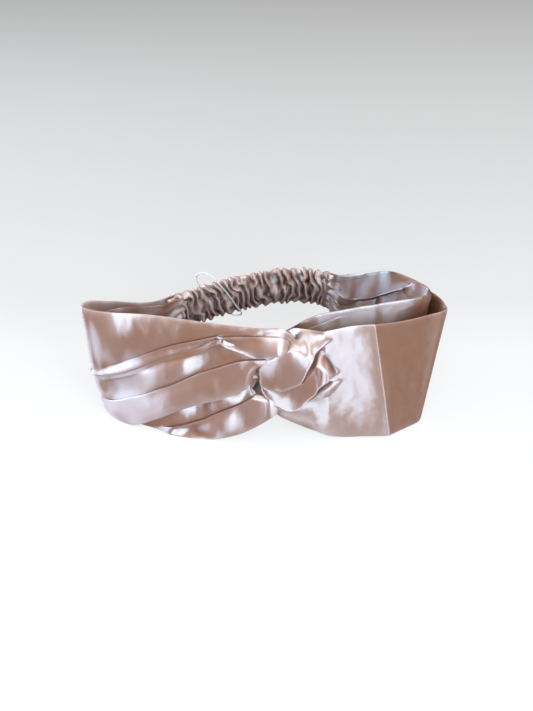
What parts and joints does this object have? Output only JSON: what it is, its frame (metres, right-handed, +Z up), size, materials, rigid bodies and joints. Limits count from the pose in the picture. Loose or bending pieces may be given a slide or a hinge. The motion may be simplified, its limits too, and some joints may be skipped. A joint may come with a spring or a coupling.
{
  "type": "knotted headband",
  "caption": "Knotted satin headband: wide pleated strips looped through each other at the front, joined at the back by a gathered elastic casing.",
  "frame": {"origin": "on the surface the band stands on, under the middle of its outer box", "axes": "+X runs from the left strip to the right one, the knot faces -Y, and +Z is up"},
  "size_m": [0.2158, 0.108, 0.088],
  "materials": {
    "satin": "smooth dusty rose satin with a soft sheen",
    "woven_elastic": "ribbed white woven elastic",
    "nylon": "thin white nylon cord"
  },
  "bodies": {
    "right_half": {"right_strip": "satin", "elastic_casing": "satin", "flat_elastic": "woven_elastic"},
    "left_half": {"left_strip": "satin", "tag_loop": "nylon", "loop_knot": "nylon"}
  },
  "joints": [
    {"name": "knot_swivel", "type": "hinge", "parent": "right_half", "child": "left_half", "pos_m": [0.0055, -0.0403, 0.044], "axis": [0, 0, 1], "range_deg": [-8, 30], "stiffness_Nm_per_rad": 0.15, "deforming": ["elastic_casing", "flat_elastic"]}
  ]
}
